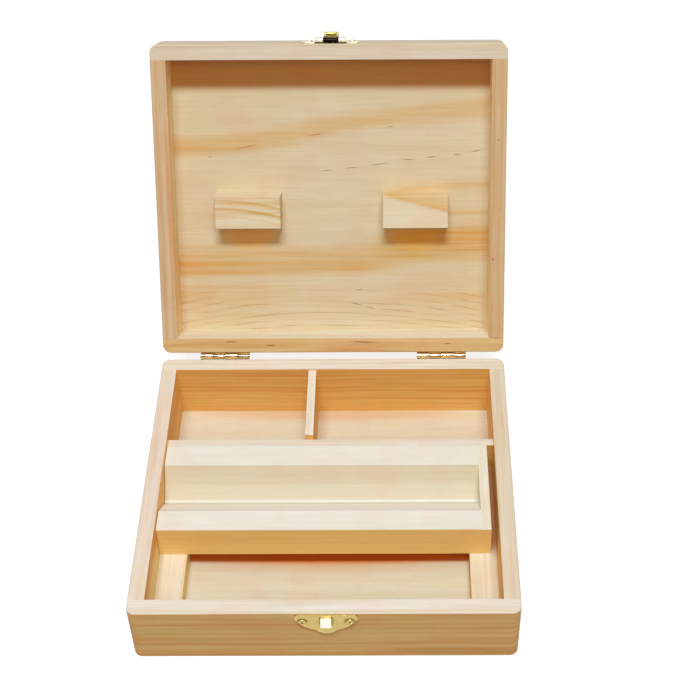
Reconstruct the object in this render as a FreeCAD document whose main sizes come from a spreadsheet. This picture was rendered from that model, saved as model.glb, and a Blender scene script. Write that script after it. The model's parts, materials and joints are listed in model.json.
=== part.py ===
import FreeCAD, Part
import math
import os
import re

import Sketcher
from FreeCAD import Placement, Rotation, Vector

# Pine box with a hinged lid, a grooved tray that slides on two ledges, two
# brass butt hinges and a brass hasp. X runs to the right, Y to the back and
# Z up, in millimetres. The origin is the middle of the underside.
# The lid is modelled closed and then swung open about its hinge pins, and the
# arm of the hasp is modelled closed and then folded back over the lid.

sizes = {
    # Boards of the box and the lid
    "box_width": 173.0,
    "box_depth": 155.0,
    "base_height": 33.0,
    "lid_height": 20.5,
    "wall": 7.5,
    "corner_radius": 4.0,
    "edge_round": 0.6,
    "bottom_thickness": 2.0,
    "lid_panel_thickness": 3.0,
    "closing_gap": 0.4,
    "open_angle": 118.7,
    # Partitions behind the tray
    "partition_thickness": 4.0,
    "partition_height": 27.0,
    "rear_bay_depth": 43.4,
    "left_bay_width": 66.7,
    "divider_height": 30.3,
    "small_round": 0.3,
    # Ledges that carry the tray
    "ledge_width": 13.0,
    "ledge_height": 9.5,
    "ledge_round": 0.5,
    # Tray
    "tray_depth": 51.5,
    "tray_height": 18.0,
    "tray_end_thickness": 4.6,
    "tray_left_gap": 0.2,
    "tray_right_gap": 3.3,
    "tray_back_gap": 0.3,
    "tray_rest_gap": 0.1,
    "tray_round": 0.5,
    "rear_rail_width": 12.6,
    "front_rail_width": 11.4,
    "groove_depth": 13.0,
    "groove_round": 2.5,
    # Where the groove bends, across it from its front lip and down from its lips
    "groove_bend_share": 0.796,
    "groove_bend_depth_share": 0.57,
    "groove_bottom_share": 0.553,
    # Blocks glued inside the lid
    "lid_block_width": 32.8,
    "lid_block_depth": 16.6,
    "lid_block_height": 12.0,
    "lid_block_left_inset": 37.0,
    "lid_block_right_inset": 37.1,
    "lid_block_back": 64.8,
    "lid_block_round": 0.5,
    # Butt hinges
    "hinge_inset": 31.5,
    "hinge_length": 25.0,
    "hinge_leaf_height": 11.0,
    "leaf_thickness": 0.9,
    "knuckle_radius": 1.6,
    "knuckle_gap": 0.2,
    "knuckle_clearance": 0.3,
    "wood_gap": 0.15,
    "hinge_pin_radius": 0.8,
    "pin_clearance": 0.05,
    "hinge_screw_spacing": 15.0,
    "hinge_screw_drop": 6.6,
    # Small brass screws
    "screw_radius": 0.8,
    "screw_length": 6.0,
    "screw_head_radius": 1.7,
    "screw_crown_radius": 1.1,
    "screw_head_height": 0.7,
    # Strike plate and hasp plate
    "clasp_offset": 1.0,
    "plate_thickness": 0.8,
    "plate_width": 27.8,
    "plate_edge_drop": 0.5,
    "plate_bulge": 1.6,
    "plate_arc_rise": 4.0,
    "plate_corner_round": 1.8,
    "lobe_radius": 5.0,
    "lobe_drop": 8.4,
    "plate_screw_spacing": 20.8,
    "plate_screw_drop": 5.0,
    # Hook of the strike plate
    "hook_width": 4.8,
    "hook_reach": 2.8,
    "hook_root_drop": 0.6,
    "hook_slope_drop": 2.8,
    "hook_length": 6.3,
    "hook_thickness": 0.8,
    # Hinged arm of the hasp
    "hasp_axis_rise": 2.0,
    "hasp_knuckle_radius": 1.4,
    "hasp_side_knuckle": 3.8,
    "hasp_pin_radius": 0.6,
    "arm_width": 7.2,
    "arm_thickness": 0.8,
    "arm_reach": 11.5,
    "slot_side_gap": 0.2,
    "slot_top_gap": 0.6,
    "slot_bottom_gap": 0.3,
    "tip_length": 4.5,
    "tip_angle": 65.0,
    "tip_round": 1.2,
    "tip_rest_gap": 0.38,
    # How far a cut runs past the face it opens
    "overrun": 1.0,
}

# Knuckles on a hinge, taken in turn by its two leaves
knuckle_count = 4

# Places nearer than this share of the smallest rounding count as the same
same_place_share = 0.001

doc = FreeCAD.newDocument("PineBox")
sheet = doc.addObject("Spreadsheet::Sheet", "Sizes")
for row, (alias, value) in enumerate(sizes.items(), start=1):
    sheet.set("A%d" % row, alias)
    sheet.set("B%d" % row, str(value))
    sheet.setAlias("B%d" % row, alias)
doc.recompute()


def formula(text):
    # Words that are cell names get the name of the sheet put before them
    def with_sheet(word):
        return "Sizes." + word.group() if word.group() in sizes else word.group()
    return re.sub(r"[a-z_]+", with_sheet, text)


def number(text):
    return float(sheet.evalExpression(formula(text)))


def bind(item, settings):
    for name, text in settings.items():
        item.setExpression(name, formula(text))


def new_body(label):
    body = doc.addObject("PartDesign::Body", label)
    body.Label = label
    return body


def box(body, length, width, height, corner, cut=False):
    kind = "PartDesign::SubtractiveBox" if cut else "PartDesign::AdditiveBox"
    item = body.newObject(kind, "Block")
    bind(item, {"Length": length, "Width": width, "Height": height,
                "Placement.Base.x": corner[0], "Placement.Base.y": corner[1],
                "Placement.Base.z": corner[2]})
    doc.recompute()
    return item


along_x = Rotation(Vector(0, 1, 0), 90)
along_y = Rotation(Vector(1, 0, 0), -90)
against_y = Rotation(Vector(1, 0, 0), 90)


def rod(body, radius, length, start, turn, cut=False):
    kind = "PartDesign::SubtractiveCylinder" if cut else "PartDesign::AdditiveCylinder"
    item = body.newObject(kind, "Rod")
    item.Placement = Placement(Vector(), turn)
    bind(item, {"Radius": radius, "Height": length,
                "Placement.Base.x": start[0], "Placement.Base.y": start[1],
                "Placement.Base.z": start[2]})
    doc.recompute()
    return item


def named_edges(shape, test):
    return ["Edge%d" % (index + 1) for index, edge in enumerate(shape.Edges) if test(edge)]


def soften(body, radius, test):
    # Rounds the edges of the body that pass the test
    base = body.Tip
    names = named_edges(base.Shape, test)
    if not names:
        raise RuntimeError(body.Label + " has no edge to round")
    item = body.newObject("PartDesign::Fillet", "Rounding")
    item.Base = (base, names)
    bind(item, {"Radius": radius})
    doc.recompute()
    return item


def close(first, second):
    return abs(first - second) < same_place_share * number("small_round")


def is_flat_at(edge, axis, place):
    # True where the whole edge lies in the plane axis = place
    low = getattr(edge.BoundBox, axis + "Min")
    high = getattr(edge.BoundBox, axis + "Max")
    return close(low, number(place)) and close(high, number(place))


def runs_along(edge, axis):
    # True where the edge is straight and parallel to the axis
    return close(getattr(edge.BoundBox, axis + "Length"), edge.BoundBox.DiagonalLength)


def is_long(edge, axis):
    return getattr(edge.BoundBox, axis + "Length") > number("wall")


def sketch_on(body, role, offset):
    # A sketch parallel to one of the body's own planes
    plane = [item for item in body.Origin.OriginFeatures if item.Role == role][0]
    sketch = body.newObject("Sketcher::SketchObject", "Outline")
    sketch.AttachmentSupport = (plane, [""])
    sketch.MapMode = "FlatFace"
    bind(sketch, {"AttachmentOffset.Base.z": offset})
    return sketch


def draw(sketch, points):
    # A closed outline of straight lines whose corners follow the sheet
    count = len(points)
    spread = number("wall")
    ring = [Vector(spread * math.cos(2 * math.pi * i / count),
                   spread * math.sin(2 * math.pi * i / count), 0) for i in range(count)]
    for index in range(count):
        sketch.addGeometry(Part.LineSegment(ring[index], ring[(index + 1) % count]))
    for index in range(count):
        sketch.addConstraint(Sketcher.Constraint("Coincident", index, 2, (index + 1) % count, 1))
    for index, (across, up) in enumerate(points):
        for direction, text in (("DistanceX", across), ("DistanceY", up)):
            place = ring[index].x if direction == "DistanceX" else ring[index].y
            placed = sketch.addConstraint(Sketcher.Constraint(direction, -1, 1, index, 1, place))
            sketch.setExpression("Constraints[%d]" % placed, formula(text))
    doc.recompute()


def pad(body, sketch, length, both_ways=False):
    item = body.newObject("PartDesign::Pad", "Pad")
    item.Profile = sketch
    item.Midplane = both_ways
    bind(item, {"Length": length})
    doc.recompute()
    return item


# Places shared by several pieces, as formulas on the sheet

hinge_y = "box_depth / 2 + knuckle_radius + wood_gap"
hinge_z = "base_height + closing_gap / 2"
lid_rim = "base_height + closing_gap"
hasp_y = "0 - box_depth / 2 - hasp_knuckle_radius - wood_gap"
hasp_z = lid_rim + " + hasp_axis_rise"
inner_left = "0 - box_width / 2 + wall"
inner_width = "box_width - 2 * wall"
inner_depth = "box_depth - 2 * wall"
partition_front = "box_depth / 2 - wall - rear_bay_depth - partition_thickness"

hinge_point = Vector(0, number(hinge_y), number(hinge_z))
swing = Placement(Vector(), Rotation(Vector(-1, 0, 0), number("open_angle")), hinge_point)

no_turn = Placement()
parts = []


def keep(item, placement=no_turn):
    item.Placement = placement
    parts.append(item)


# Screw places: (x, y, z) formulas of each screw's seat and the way it points

def hinge_middle(sign):
    # sign is - for the left hinge and + for the right one
    return "0 %s (box_width / 2 - hinge_inset)" % sign


def hinge_screws(z):
    seats = []
    for side in ("-", "+"):
        for row in ("-", "+"):
            x = "%s %s hinge_screw_spacing / 2" % (hinge_middle(side), row)
            seats.append((x, "box_depth / 2", z))
    return seats


def clasp_screws(z):
    return [("clasp_offset %s plate_screw_spacing / 2" % row, "0 - box_depth / 2", z)
            for row in ("-", "+")]


base_hinge_screws = hinge_screws(hinge_z + " - hinge_screw_drop")
lid_hinge_screws = hinge_screws(hinge_z + " + hinge_screw_drop")
strike_screws = clasp_screws("base_height - plate_screw_drop")
hasp_screws = clasp_screws(lid_rim + " + plate_screw_drop")


def pilot_holes(body, seats, sign):
    # Holes for the shanks, going into the wood from its outer face
    for x, y, z in seats:
        start = y if sign == "+" else y + " - screw_length"
        rod(body, "screw_radius", "screw_length", (x, start, z), along_y, cut=True)


# Four boards of the box or of the lid, glued into a frame

def frame_boards(prefix, height, bottom, placement, front_screws, rear_screws):
    # The front and rear boards run the full width and the side boards butt between them
    top = bottom + " + " + height
    for name, start, outer, inner in (
            ("front", "0 - box_depth / 2", "0 - box_depth / 2", "wall - box_depth / 2"),
            ("rear", "box_depth / 2 - wall", "box_depth / 2", "box_depth / 2 - wall")):
        body = new_body(prefix + "_" + name + "_board")
        box(body, "box_width", "wall", height, ("0 - box_width / 2", start, bottom))
        soften(body, "min(corner_radius; wall - edge_round)",
               lambda edge: is_flat_at(edge, "Y", outer) and runs_along(edge, "Z"))
        soften(body, "edge_round",
               lambda edge: (is_flat_at(edge, "Z", bottom) or is_flat_at(edge, "Z", top))
               and not is_flat_at(edge, "Y", inner))
        if name == "front":
            pilot_holes(body, front_screws, "+")
        else:
            pilot_holes(body, rear_screws, "-")
        keep(body, placement)

    for name, start, outer in (("left", "0 - box_width / 2", "0 - box_width / 2"),
                               ("right", "box_width / 2 - wall", "box_width / 2")):
        body = new_body(prefix + "_" + name + "_board")
        box(body, "wall", inner_depth, height, (start, "wall - box_depth / 2", bottom))
        soften(body, "edge_round",
               lambda edge: is_flat_at(edge, "X", outer) and runs_along(edge, "Y"))
        keep(body, placement)


frame_boards("base", "base_height", "0", no_turn, strike_screws, base_hinge_screws)
frame_boards("lid", "lid_height", lid_rim, swing, hasp_screws, lid_hinge_screws)

bottom_panel = new_body("bottom_panel")
box(bottom_panel, inner_width, inner_depth, "bottom_thickness",
    (inner_left, "wall - box_depth / 2", "0"))
keep(bottom_panel)

lid_panel = new_body("lid_panel")
box(lid_panel, inner_width, inner_depth, "lid_panel_thickness",
    (inner_left, "wall - box_depth / 2", lid_rim + " + lid_height - lid_panel_thickness"))
keep(lid_panel, swing)


# Partitions of the rear compartments

cross_partition = new_body("cross_partition")
box(cross_partition, inner_width, "partition_thickness", "partition_height",
    (inner_left, partition_front, "bottom_thickness"))
soften(cross_partition, "small_round",
       lambda edge: is_flat_at(edge, "Z", "bottom_thickness + partition_height")
       and is_long(edge, "X"))
keep(cross_partition)

rear_divider = new_body("rear_divider")
box(rear_divider, "partition_thickness", "rear_bay_depth", "divider_height",
    (inner_left + " + left_bay_width", partition_front + " + partition_thickness", "bottom_thickness"))
soften(rear_divider, "small_round",
       lambda edge: is_flat_at(edge, "Z", "bottom_thickness + divider_height")
       and is_long(edge, "Y"))
keep(rear_divider)


# Ledges along the side walls

for side, left_face in (("left", inner_left), ("right", "box_width / 2 - wall - ledge_width")):
    ledge = new_body(side + "_ledge")
    box(ledge, "ledge_width", partition_front + " + box_depth / 2 - wall", "ledge_height",
        (left_face, "wall - box_depth / 2", "bottom_thickness"))
    soften(ledge, "ledge_round",
           lambda edge: is_flat_at(edge, "Z", "bottom_thickness + ledge_height")
           and is_long(edge, "Y"))
    keep(ledge)


# Tray: a grooved block, open at its left end, with a board glued to its right end

tray_left = inner_left + " + tray_left_gap"
tray_length = inner_width + " - tray_left_gap - tray_right_gap"
tray_back = partition_front + " - tray_back_gap"
tray_front = tray_back + " - tray_depth"
tray_bottom = "bottom_thickness + ledge_height + tray_rest_gap"
tray_top = tray_bottom + " + tray_height"

tray_block = new_body("tray_block")
tray_section = sketch_on(tray_block, "YZ_Plane", tray_left)
front_lip = tray_front + " + front_rail_width"
rear_lip = tray_back + " - rear_rail_width"
groove_width = "(tray_depth - front_rail_width - rear_rail_width)"
draw(tray_section, [
    (tray_front, tray_bottom),
    (tray_back, tray_bottom),
    (tray_back, tray_top),
    (rear_lip, tray_top),
    (front_lip + " + groove_bend_share * " + groove_width,
     tray_top + " - groove_bend_depth_share * groove_depth"),
    (front_lip + " + groove_bottom_share * " + groove_width, tray_top + " - groove_depth"),
    (front_lip, tray_top),
    (tray_front, tray_top),
])
pad(tray_block, tray_section, tray_length + " - tray_end_thickness")
soften(tray_block, "groove_round",
       lambda edge: is_long(edge, "X") and not is_flat_at(edge, "Z", tray_bottom)
       and not is_flat_at(edge, "Z", tray_top))
soften(tray_block, "tray_round",
       lambda edge: is_long(edge, "X") and is_flat_at(edge, "Z", tray_top))
keep(tray_block)

tray_end_board = new_body("tray_end_board")
end_face = tray_left + " + " + tray_length + " - tray_end_thickness"
box(tray_end_board, "tray_end_thickness", "tray_depth", "tray_height",
    (end_face, tray_front, tray_bottom))
soften(tray_end_board, "tray_round",
       lambda edge: is_flat_at(edge, "Z", tray_top) and not is_flat_at(edge, "X", end_face))
keep(tray_end_board)


# Blocks inside the lid

block_rim = lid_rim + " + lid_height - lid_panel_thickness - lid_block_height"
for side, middle in (("left", inner_left + " + lid_block_left_inset"),
                     ("right", "box_width / 2 - wall - lid_block_right_inset")):
    lid_block = new_body("lid_block_" + side)
    box(lid_block, "lid_block_width", "lid_block_depth", "lid_block_height",
        (middle + " - lid_block_width / 2", hinge_y + " - lid_block_back - lid_block_depth", block_rim))
    soften(lid_block, "lid_block_round", lambda edge: is_flat_at(edge, "Z", block_rim))
    keep(lid_block, swing)


# Butt hinges. Each leaf is a flat plate with knuckles rolled from its edge.

knuckle_pitch = "hinge_length / %d" % knuckle_count


def hinge_leaf(label, middle, sign, first, bore, seats, placement):
    # sign is - for the leaf below the pin and + for the leaf above it
    leaf = new_body(label)
    left = middle + " - hinge_length / 2"
    plate_height = "hinge_leaf_height - knuckle_radius - knuckle_clearance"
    if sign == "-":
        plate_bottom = hinge_z + " - hinge_leaf_height"
        strap_bottom = hinge_z + " - hinge_leaf_height + " + plate_height
    else:
        plate_bottom = hinge_z + " + knuckle_radius + knuckle_clearance"
        strap_bottom = hinge_z
    box(leaf, "hinge_length", "leaf_thickness", plate_height, (left, "box_depth / 2", plate_bottom))
    for index in range(first, knuckle_count, 2):
        start = left + " + %d * (%s) + knuckle_gap / 2" % (index, knuckle_pitch)
        width = knuckle_pitch + " - knuckle_gap"
        box(leaf, width, "leaf_thickness", "knuckle_radius + knuckle_clearance",
            (start, "box_depth / 2", strap_bottom))
        rod(leaf, "knuckle_radius", width, (start, hinge_y, hinge_z), along_x)
    rod(leaf, bore, "hinge_length + 2 * overrun", (left + " - overrun", hinge_y, hinge_z),
        along_x, cut=True)
    for x, y, z in seats:
        rod(leaf, "screw_radius", "leaf_thickness", (x, y, z), along_y, cut=True)
    keep(leaf, placement)


for side, sign, seats in (("left", "-", slice(0, 2)), ("right", "+", slice(2, 4))):
    middle = hinge_middle(sign)
    hinge_leaf(side + "_hinge_base_leaf", middle, "-", 0, "hinge_pin_radius",
               base_hinge_screws[seats], no_turn)
    hinge_leaf(side + "_hinge_lid_leaf", middle, "+", 1, "hinge_pin_radius + pin_clearance",
               lid_hinge_screws[seats], swing)
    hinge_pin = new_body(side + "_hinge_pin")
    rod(hinge_pin, "hinge_pin_radius", "hinge_length",
        (middle + " - hinge_length / 2", hinge_y, hinge_z), along_x)
    keep(hinge_pin)


# Half-moon plates: a disc cut straight along the rim, with a lobe below

def moon_plate(label, edge, sign):
    # sign is - where the disc hangs below its straight edge and + above it
    plate = new_body(label)
    back = "0 - box_depth / 2 - plate_thickness"
    other = "+" if sign == "-" else "-"
    disc_middle = "%s %s plate_arc_rise" % (edge, other)
    arc_radius = "(plate_width / 2 + plate_bulge)"
    rod(plate, arc_radius, "plate_thickness", ("clasp_offset", back, disc_middle), along_y)
    span = "2 * " + arc_radius + " + 2 * overrun"
    start = edge if sign == "-" else edge + " - (%s)" % span
    box(plate, span, "plate_thickness + 2 * overrun", span,
        ("clasp_offset - (%s) / 2" % span, back + " - overrun", start), cut=True)
    left_end = "clasp_offset - plate_width / 2"
    right_end = "clasp_offset + plate_width / 2"
    for x in (right_end, left_end + " - (%s)" % span):
        box(plate, span, "plate_thickness + 2 * overrun", "2 * (%s)" % span,
            (x, back + " - overrun", edge + " - (%s)" % span), cut=True)
    soften(plate, "plate_corner_round",
           lambda item: runs_along(item, "Y")
           and (is_flat_at(item, "X", left_end) or is_flat_at(item, "X", right_end)))
    rod(plate, "lobe_radius", "plate_thickness",
        ("clasp_offset", back, "%s %s lobe_drop" % (edge, sign)), along_y)
    return plate


def plate_holes(plate, seats):
    for x, y, z in seats:
        rod(plate, "screw_radius", "plate_thickness", (x, y + " - plate_thickness", z),
            along_y, cut=True)


strike_edge = "base_height - plate_edge_drop"
strike_plate = moon_plate("strike_plate", strike_edge, "-")
hook_profile = sketch_on(strike_plate, "YZ_Plane", "clasp_offset")
hook_face = "0 - box_depth / 2 - plate_thickness / 2"
hook_top = "base_height - hook_root_drop"
hook_front = "0 - box_depth / 2 - hook_reach"
draw(hook_profile, [
    (hook_face, hook_top),
    (hook_front, hook_top + " - hook_slope_drop"),
    (hook_front, hook_top + " - hook_length"),
    (hook_front + " + hook_thickness", hook_top + " - hook_length"),
    (hook_front + " + hook_thickness", hook_top + " - hook_slope_drop - hook_thickness / 2"),
    (hook_face, hook_top + " - hook_thickness * 2"),
])
pad(strike_plate, hook_profile, "hook_width", both_ways=True)
plate_holes(strike_plate, strike_screws)
keep(strike_plate)

hasp_plate = moon_plate("hasp_plate", lid_rim + " + plate_edge_drop", "+")
knuckle_span = "arm_width + 2 * hasp_side_knuckle + 4 * knuckle_gap"
box(hasp_plate, knuckle_span, "plate_thickness + 2 * overrun",
    "hasp_axis_rise + hasp_knuckle_radius + knuckle_clearance",
    ("clasp_offset - (%s) / 2" % knuckle_span, "0 - box_depth / 2 - plate_thickness - overrun",
     lid_rim), cut=True)
for x in ("clasp_offset - arm_width / 2 - knuckle_gap - hasp_side_knuckle",
          "clasp_offset + arm_width / 2 + knuckle_gap"):
    box(hasp_plate, "hasp_side_knuckle", "plate_thickness",
        "hasp_knuckle_radius + 2 * knuckle_clearance",
        (x, "0 - box_depth / 2 - plate_thickness", hasp_z))
    rod(hasp_plate, "hasp_knuckle_radius", "hasp_side_knuckle", (x, hasp_y, hasp_z), along_x)
rod(hasp_plate, "hasp_pin_radius", knuckle_span,
    ("clasp_offset - (%s) / 2" % knuckle_span, hasp_y, hasp_z), along_x, cut=True)
plate_holes(hasp_plate, hasp_screws)
keep(hasp_plate, swing)

hasp_pin = new_body("hasp_pin")
pin_span = "arm_width + 2 * hasp_side_knuckle + 2 * knuckle_gap"
rod(hasp_pin, "hasp_pin_radius", pin_span,
    ("clasp_offset - (%s) / 2" % pin_span, hasp_y, hasp_z), along_x)
keep(hasp_pin, swing)


# Arm of the hasp, drawn about its pin: it hangs down when closed

hasp_arm = new_body("hasp_arm")
rod(hasp_arm, "hasp_knuckle_radius", "arm_width", ("0 - arm_width / 2", "0", "0"), along_x)
arm_profile = sketch_on(hasp_arm, "YZ_Plane", "0")
bend_in = "0 - arm_reach"
bend_out = "0 - arm_reach + arm_thickness * tan(tip_angle / 2)"
tip_y = "arm_thickness / 2 - tip_length * sin(tip_angle)"
tip_z = "0 - arm_reach - tip_length * cos(tip_angle)"
corner_y = tip_y + " - arm_thickness * cos(tip_angle)"
corner_z = tip_z + " + arm_thickness * sin(tip_angle)"
draw(arm_profile, [
    ("arm_thickness / 2", "0"),
    ("arm_thickness / 2", bend_in),
    (tip_y, tip_z),
    (corner_y, corner_z),
    ("0 - arm_thickness / 2", bend_out),
    ("0 - arm_thickness / 2", "0"),
])
pad(hasp_arm, arm_profile, "arm_width", both_ways=True)
slot_width = "hook_width + 2 * slot_side_gap"
hook_drop = "hasp_axis_rise + closing_gap + hook_root_drop"
slot_end = hook_drop + " + hook_length + slot_bottom_gap"
box(hasp_arm, slot_width, "arm_thickness + 2 * overrun",
    "slot_top_gap + hook_length + slot_bottom_gap",
    ("0 - (%s) / 2" % slot_width, "0 - arm_thickness / 2 - overrun", "0 - (%s)" % slot_end), cut=True)
rod(hasp_arm, "hasp_pin_radius + pin_clearance", "arm_width + 2 * overrun",
    ("0 - arm_width / 2 - overrun", "0", "0"), along_x, cut=True)
soften(hasp_arm, "tip_round",
       lambda edge: close(edge.Length, number("arm_thickness"))
       and edge.BoundBox.ZMax < -number("arm_reach"))

# The arm folds back until the outer corner of its tip is a small gap from the hasp plate
corner_out = number("0 - (%s)" % corner_y)
corner_down = number("0 - (%s)" % corner_z)
rest_height = number("hasp_knuckle_radius + wood_gap - plate_thickness - tip_rest_gap")
corner_angle = math.degrees(math.atan2(corner_out, corner_down))
fold_angle = 180 - corner_angle + math.degrees(
    math.asin(rest_height / math.hypot(corner_out, corner_down)))
fold = Placement(Vector(), Rotation(Vector(-1, 0, 0), fold_angle))
hasp_point = Vector(number("clasp_offset"), number(hasp_y), number(hasp_z))
keep(hasp_arm, swing * Placement(hasp_point, Rotation()) * fold)


# Screws, each group one compound of separate solids

def screw_group(label, seats, out, under_head, placement):
    # out is + where the heads lie behind their seats and - where they lie before them
    inward, outward = (against_y, along_y) if out == "+" else (along_y, against_y)
    screws = []
    for x, y, z in seats:
        shank = doc.addObject("Part::Cylinder", "Shank")
        shank.Placement = Placement(Vector(), inward)
        bind(shank, {"Radius": "screw_radius", "Height": "screw_length"})
        head = doc.addObject("Part::Cone", "Head")
        head.Placement = Placement(Vector(), outward)
        bind(head, {"Radius1": "screw_head_radius", "Radius2": "screw_crown_radius",
                    "Height": "screw_head_height"})
        for item in (shank, head):
            bind(item, {"Placement.Base.x": x, "Placement.Base.z": z,
                        "Placement.Base.y": "%s %s %s" % (y, out, under_head)})
        screw = doc.addObject("Part::Fuse", "Screw")
        screw.Base = shank
        screw.Tool = head
        screws.append(screw)
    group = doc.addObject("Part::Compound", label)
    group.Label = label
    group.Links = screws
    keep(group, placement)


screw_group("base_hinge_screws", base_hinge_screws, "+", "leaf_thickness", no_turn)
screw_group("lid_hinge_screws", lid_hinge_screws, "+", "leaf_thickness", swing)
screw_group("strike_screws", strike_screws, "-", "plate_thickness", no_turn)
screw_group("hasp_screws", hasp_screws, "-", "plate_thickness", swing)


# Build everything, check it and write one file for each piece

doc.recompute()
for item in doc.Objects:
    if "Invalid" in item.State or "Error" in item.State:
        raise RuntimeError(item.Label + " failed to build")
for item in parts:
    if item.Shape.isNull() or not item.Shape.isValid():
        raise RuntimeError(item.Label + " has no valid shape")

os.makedirs("parts", exist_ok=True)
for item in parts:
    item.Shape.exportStep(os.path.join("parts", item.Label + ".step"))
    bounds = item.Shape.BoundBox
    print("%-24s %7.2f mm3  x %.2f..%.2f  y %.2f..%.2f  z %.2f..%.2f" % (
        item.Label, item.Shape.Volume, bounds.XMin, bounds.XMax, bounds.YMin, bounds.YMax,
        bounds.ZMin, bounds.ZMax))
print("lid open by %.2f degrees, arm folded back by %.2f degrees" % (number("open_angle"), fold_angle))
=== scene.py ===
import json
import math

import bmesh
import bpy
from mathutils import Matrix, Vector

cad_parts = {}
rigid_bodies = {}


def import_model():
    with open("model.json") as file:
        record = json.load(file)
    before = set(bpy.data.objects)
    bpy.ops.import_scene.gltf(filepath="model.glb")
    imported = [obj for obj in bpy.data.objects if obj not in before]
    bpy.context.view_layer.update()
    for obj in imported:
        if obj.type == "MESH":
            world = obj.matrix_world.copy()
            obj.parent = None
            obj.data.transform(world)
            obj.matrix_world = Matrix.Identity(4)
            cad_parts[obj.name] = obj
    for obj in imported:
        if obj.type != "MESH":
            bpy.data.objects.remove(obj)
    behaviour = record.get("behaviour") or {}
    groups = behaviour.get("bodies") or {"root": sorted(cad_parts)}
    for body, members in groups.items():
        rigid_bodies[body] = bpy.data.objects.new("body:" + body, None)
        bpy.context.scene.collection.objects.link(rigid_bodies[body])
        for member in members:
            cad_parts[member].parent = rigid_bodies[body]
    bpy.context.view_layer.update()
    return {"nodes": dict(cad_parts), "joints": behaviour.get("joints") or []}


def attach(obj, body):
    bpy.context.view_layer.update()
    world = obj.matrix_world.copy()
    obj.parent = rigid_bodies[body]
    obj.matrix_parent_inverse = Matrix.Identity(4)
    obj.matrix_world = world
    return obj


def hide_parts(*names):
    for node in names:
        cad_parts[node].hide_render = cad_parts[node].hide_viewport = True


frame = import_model()
nodes = frame["nodes"]
print("frame loaded:", len(nodes), "nodes")

mm = 0.001

# Where the lid turns and how far it stands open, so that its boards and brass can be
# described as they lie in the shut box
hingeJoint = next(joint for joint in frame["joints"] if joint["name"] == "lid_hinge")
lidHinge = {
    "y": hingeJoint["pos_m"][1] * 1000,
    "z": hingeJoint["pos_m"][2] * 1000,
    "open": -hingeJoint["range_deg"][0],
}


def hexColour(text):
    # An sRGB hex colour as the linear colour that Blender works in
    parts = [int(text[i:i + 2], 16) / 255 for i in (1, 3, 5)]
    return [p / 12.92 if p <= 0.04045 else ((p + 0.055) / 1.055) ** 2.4 for p in parts] + [1.0]


def addNode(tree, kind, inputs=None, stops=None, take=0, **settings):
    # One shader node with its settings, its ramp stops and its links: gives the output to take
    # from it, or the node itself where take is None
    node = tree.nodes.new("ShaderNode" + kind)
    for key, value in settings.items():
        setattr(node, key, value)
    if stops:
        ramp = node.color_ramp
        while len(ramp.elements) < len(stops):
            ramp.elements.new(1.0)
        for element, (place, value) in zip(ramp.elements, stops):
            element.position = place
            element.color = hexColour(value) if isinstance(value, str) else (value, value, value, 1)
    for key, value in (inputs or {}).items():
        if isinstance(value, bpy.types.NodeSocket):
            tree.links.new(value, node.inputs[key])
        else:
            node.inputs[key].default_value = value
    return node if take is None else node.outputs[take]


# what a Mix node needs to mix colours, and where it gives them
colourMix = {"data_type": "RGBA", "take": 2}


def newMaterial(name):
    # A material with nothing in it but its shader, linked to the output
    material = bpy.data.materials.new(name)
    material.use_nodes = True
    tree = material.node_tree
    tree.nodes.clear()
    shader = addNode(tree, "BsdfPrincipled", take=None)
    addNode(tree, "OutputMaterial", {"Surface": shader.outputs["BSDF"]}, take=None)
    return material, tree, shader


# Camera, from the straight edges of the box in the photograph

cameraPlace = {
    "location": (0.03214, -0.45775, 0.58030),   # m
    "yaw": -0.0053,                             # radians, as pitch and roll
    "pitch": 0.7754,
    "roll": -0.0072,
    "sensor": 36,                               # mm, as the lens
    "lens": 77.44,
    "shift": (-0.05796, -0.03334),
    "nearest": 0.01,
}


def makeCamera():
    yaw, pitch, roll = cameraPlace["yaw"], cameraPlace["pitch"], cameraPlace["roll"]
    ahead = Vector((math.sin(yaw) * math.cos(pitch), math.cos(yaw) * math.cos(pitch), -math.sin(pitch)))
    level = Vector((math.cos(yaw), -math.sin(yaw), 0))
    upright = level.cross(ahead)
    right = level * math.cos(roll) + upright * math.sin(roll)
    up = upright * math.cos(roll) - level * math.sin(roll)
    bpy.ops.object.camera_add(location=cameraPlace["location"])
    camera = bpy.context.object
    camera.name = "photoCamera"
    camera.matrix_world = Matrix.Translation(cameraPlace["location"]) @ Matrix(
        (right, up, -ahead)).transposed().to_4x4()
    camera.data.sensor_width = cameraPlace["sensor"]
    camera.data.lens = cameraPlace["lens"]
    camera.data.shift_x, camera.data.shift_y = cameraPlace["shift"]
    camera.data.clip_start = cameraPlace["nearest"]
    bpy.context.scene.camera = camera


makeCamera()
print("camera placed")


# Light: a long soft box nearly overhead, a small one before it, and an even, slightly warm room

lightLevels = {
    "keyPower": 146.0,
    "keySize": (1.60, 0.50),   # m, wide and narrow, as the soft ends and sharp foot of the shadows say
    "keyDistance": 4.0,
    "keyLean": 16.5,           # degrees from straight above towards the front
    "keyAim": (0, 0, 0.05),
    "keyColour": "#D9EDFF",
    "softPower": 3.0,
    "softColour": "#FFDFBC",
    "softSize": (0.60, 0.40),
    "softPlace": (0.10, -0.85, 1.05),
    "softAim": (0, 0.03, 0.05),
    "roomFill": 0.30,
    "roomColour": "#FFC68C",
}

# The floor glows as white as the room to the eye alone, so that it keeps the box's shadow
paperFloor = {"size": 6, "drop": 0.0002, "tone": "#969696", "glow": 0.82}


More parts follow.
